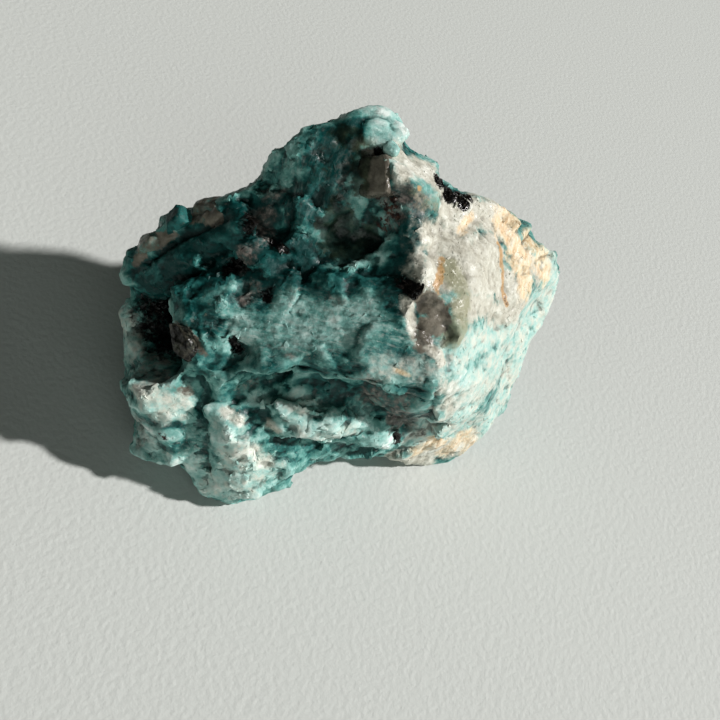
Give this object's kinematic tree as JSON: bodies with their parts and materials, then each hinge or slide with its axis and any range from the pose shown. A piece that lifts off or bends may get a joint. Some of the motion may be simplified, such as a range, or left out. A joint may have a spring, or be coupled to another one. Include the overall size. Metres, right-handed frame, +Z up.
{
  "type": "rough amazonite stone",
  "caption": "Hand-sized lump of rough amazonite with a peaked crown, broken ledges and a smoother quartz-rich slope, resting on a small flat spot.",
  "frame": {"origin": "under the middle of the stone's outline, on the surface that it rests on", "axes": "+Z up, -Y towards the side with the ledges and the lobe, +X towards the quartz slope"},
  "size_m": [0.0778, 0.0682, 0.0603],
  "materials": {
    "stone": "rough broken feldspar, turquoise with white and smoky quartz, peach stain and black mica"
  },
  "bodies": {
    "root": {"amazonite_stone": "stone"}
  },
  "joints": []
}
